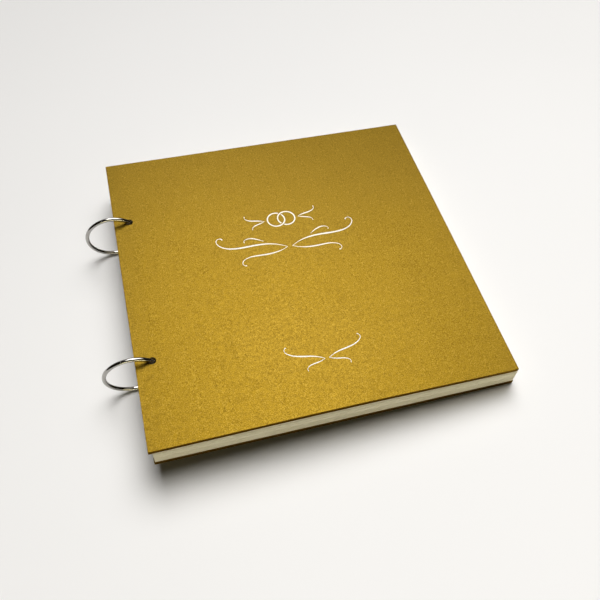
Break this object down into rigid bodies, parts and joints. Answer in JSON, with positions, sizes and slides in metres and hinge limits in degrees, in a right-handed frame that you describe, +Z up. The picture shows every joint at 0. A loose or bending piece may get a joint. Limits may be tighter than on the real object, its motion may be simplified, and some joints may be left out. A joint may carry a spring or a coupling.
{
  "type": "wedding guest book",
  "caption": "Square guest book with paper-covered boards and loose card leaves, held on hinged metal book rings.",
  "frame": {"origin": "on the table, under the middle of the book as it lies at rest on its two rings and its fore-edge", "axes": "+X from the spine and its rings to the fore-edge, +Y from the tail to the head, +Z up out of the front cover"},
  "size_m": [0.2306, 0.21, 0.0348],
  "materials": {
    "gold_paper": "metallic gold pigment paper, satin",
    "grey_board": "matte",
    "lining_paper": "matte",
    "leaf_card": "matte ivory card",
    "nickel_wire": "polished nickel plate"
  },
  "bodies": {
    "back_cover": {"back_wrap": "gold_paper", "back_board": "grey_board", "back_lining": "lining_paper"},
    "leaf_01": {"leaf_01": "leaf_card"},
    "leaf_02": {"leaf_02": "leaf_card"},
    "leaf_03": {"leaf_03": "leaf_card"},
    "leaf_04": {"leaf_04": "leaf_card"},
    "leaf_05": {"leaf_05": "leaf_card"},
    "leaf_06": {"leaf_06": "leaf_card"},
    "leaf_07": {"leaf_07": "leaf_card"},
    "leaf_08": {"leaf_08": "leaf_card"},
    "leaf_09": {"leaf_09": "leaf_card"},
    "leaf_10": {"leaf_10": "leaf_card"},
    "leaf_11": {"leaf_11": "leaf_card"},
    "leaf_12": {"leaf_12": "leaf_card"},
    "leaf_13": {"leaf_13": "leaf_card"},
    "leaf_14": {"leaf_14": "leaf_card"},
    "leaf_15": {"leaf_15": "leaf_card"},
    "leaf_16": {"leaf_16": "leaf_card"},
    "leaf_17": {"leaf_17": "leaf_card"},
    "leaf_18": {"leaf_18": "leaf_card"},
    "leaf_19": {"leaf_19": "leaf_card"},
    "leaf_20": {"leaf_20": "leaf_card"},
    "leaf_21": {"leaf_21": "leaf_card"},
    "leaf_22": {"leaf_22": "leaf_card"},
    "leaf_23": {"leaf_23": "leaf_card"},
    "leaf_24": {"leaf_24": "leaf_card"},
    "leaf_25": {"leaf_25": "leaf_card"},
    "front_cover": {"front_lining": "lining_paper", "front_board": "grey_board", "front_wrap": "gold_paper"},
    "ring_tail": {"ring_tail_half": "nickel_wire", "ring_tail_pin": "nickel_wire"},
    "ring_tail_gate": {"ring_tail_gate": "nickel_wire"},
    "ring_head": {"ring_head_half": "nickel_wire", "ring_head_pin": "nickel_wire"},
    "ring_head_gate": {"ring_head_gate": "nickel_wire"}
  },
  "joints": [
    {"name": "leaf_01_turn", "type": "hinge", "parent": "back_cover", "child": "leaf_01", "pos_m": [-0.0979, 0, 0.0174], "axis": [0, -1, 0], "range_deg": [0, 180]},
    {"name": "leaf_02_turn", "type": "hinge", "parent": "leaf_01", "child": "leaf_02", "pos_m": [-0.0979, 0, 0.0174], "axis": [0, -1, 0], "range_deg": [0, 180]},
    {"name": "leaf_03_turn", "type": "hinge", "parent": "leaf_02", "child": "leaf_03", "pos_m": [-0.0979, 0, 0.0174], "axis": [0, -1, 0], "range_deg": [0, 180]},
    {"name": "leaf_04_turn", "type": "hinge", "parent": "leaf_03", "child": "leaf_04", "pos_m": [-0.0979, 0, 0.0174], "axis": [0, -1, 0], "range_deg": [0, 180]},
    {"name": "leaf_05_turn", "type": "hinge", "parent": "leaf_04", "child": "leaf_05", "pos_m": [-0.0979, 0, 0.0174], "axis": [0, -1, 0], "range_deg": [0, 180]},
    {"name": "leaf_06_turn", "type": "hinge", "parent": "leaf_05", "child": "leaf_06", "pos_m": [-0.0979, 0, 0.0174], "axis": [0, -1, 0], "range_deg": [0, 180]},
    {"name": "leaf_07_turn", "type": "hinge", "parent": "leaf_06", "child": "leaf_07", "pos_m": [-0.0979, 0, 0.0174], "axis": [0, -1, 0], "range_deg": [0, 180]},
    {"name": "leaf_08_turn", "type": "hinge", "parent": "leaf_07", "child": "leaf_08", "pos_m": [-0.0979, 0, 0.0174], "axis": [0, -1, 0], "range_deg": [0, 180]},
    {"name": "leaf_09_turn", "type": "hinge", "parent": "leaf_08", "child": "leaf_09", "pos_m": [-0.0979, 0, 0.0174], "axis": [0, -1, 0], "range_deg": [0, 180]},
    {"name": "leaf_10_turn", "type": "hinge", "parent": "leaf_09", "child": "leaf_10", "pos_m": [-0.0979, 0, 0.0174], "axis": [0, -1, 0], "range_deg": [0, 180]},
    {"name": "leaf_11_turn", "type": "hinge", "parent": "leaf_10", "child": "leaf_11", "pos_m": [-0.0979, 0, 0.0174], "axis": [0, -1, 0], "range_deg": [0, 180]},
    {"name": "leaf_12_turn", "type": "hinge", "parent": "leaf_11", "child": "leaf_12", "pos_m": [-0.0979, 0, 0.0174], "axis": [0, -1, 0], "range_deg": [0, 180]},
    {"name": "leaf_13_turn", "type": "hinge", "parent": "leaf_12", "child": "leaf_13", "pos_m": [-0.0979, 0, 0.0174], "axis": [0, -1, 0], "range_deg": [0, 180]},
    {"name": "leaf_14_turn", "type": "hinge", "parent": "leaf_13", "child": "leaf_14", "pos_m": [-0.0979, 0, 0.0174], "axis": [0, -1, 0], "range_deg": [0, 180]},
    {"name": "leaf_15_turn", "type": "hinge", "parent": "leaf_14", "child": "leaf_15", "pos_m": [-0.0979, 0, 0.0174], "axis": [0, -1, 0], "range_deg": [0, 180]},
    {"name": "leaf_16_turn", "type": "hinge", "parent": "leaf_15", "child": "leaf_16", "pos_m": [-0.0979, 0, 0.0174], "axis": [0, -1, 0], "range_deg": [0, 180]},
    {"name": "leaf_17_turn", "type": "hinge", "parent": "leaf_16", "child": "leaf_17", "pos_m": [-0.0979, 0, 0.0174], "axis": [0, -1, 0], "range_deg": [0, 180]},
    {"name": "leaf_18_turn", "type": "hinge", "parent": "leaf_17", "child": "leaf_18", "pos_m": [-0.0979, 0, 0.0174], "axis": [0, -1, 0], "range_deg": [0, 180]},
    {"name": "leaf_19_turn", "type": "hinge", "parent": "leaf_18", "child": "leaf_19", "pos_m": [-0.0979, 0, 0.0174], "axis": [0, -1, 0], "range_deg": [0, 180]},
    {"name": "leaf_20_turn", "type": "hinge", "parent": "leaf_19", "child": "leaf_20", "pos_m": [-0.0979, 0, 0.0174], "axis": [0, -1, 0], "range_deg": [0, 180]},
    {"name": "leaf_21_turn", "type": "hinge", "parent": "leaf_20", "child": "leaf_21", "pos_m": [-0.0979, 0, 0.0174], "axis": [0, -1, 0], "range_deg": [0, 180]},
    {"name": "leaf_22_turn", "type": "hinge", "parent": "leaf_21", "child": "leaf_22", "pos_m": [-0.0979, 0, 0.0174], "axis": [0, -1, 0], "range_deg": [0, 180]},
    {"name": "leaf_23_turn", "type": "hinge", "parent": "leaf_22", "child": "leaf_23", "pos_m": [-0.0979, 0, 0.0174], "axis": [0, -1, 0], "range_deg": [0, 180]},
    {"name": "leaf_24_turn", "type": "hinge", "parent": "leaf_23", "child": "leaf_24", "pos_m": [-0.0979, 0, 0.0174], "axis": [0, -1, 0], "range_deg": [0, 180]},
    {"name": "leaf_25_turn", "type": "hinge", "parent": "leaf_24", "child": "leaf_25", "pos_m": [-0.0979, 0, 0.0174], "axis": [0, -1, 0], "range_deg": [0, 180]},
    {"name": "front_cover_turn", "type": "hinge", "parent": "leaf_25", "child": "front_cover", "pos_m": [-0.0979, 0, 0.0174], "axis": [0, -1, 0], "range_deg": [0, 220]},
    {"name": "ring_tail_spin", "type": "hinge", "parent": "back_cover", "child": "ring_tail", "pos_m": [-0.0979, -0.052, 0.0174], "axis": [0, -1, 0], "range_deg": [-40, 40]},
    {"name": "ring_tail_open", "type": "hinge", "parent": "ring_tail", "child": "ring_tail_gate", "pos_m": [-0.10211, -0.052, 0.03304], "axis": [0, -1, 0], "range_deg": [-60, 0]},
    {"name": "ring_head_spin", "type": "hinge", "parent": "back_cover", "child": "ring_head", "pos_m": [-0.0979, 0.052, 0.0174], "axis": [0, -1, 0], "range_deg": [-40, 40]},
    {"name": "ring_head_open", "type": "hinge", "parent": "ring_head", "child": "ring_head_gate", "pos_m": [-0.10211, 0.052, 0.03304], "axis": [0, -1, 0], "range_deg": [-60, 0]}
  ]
}
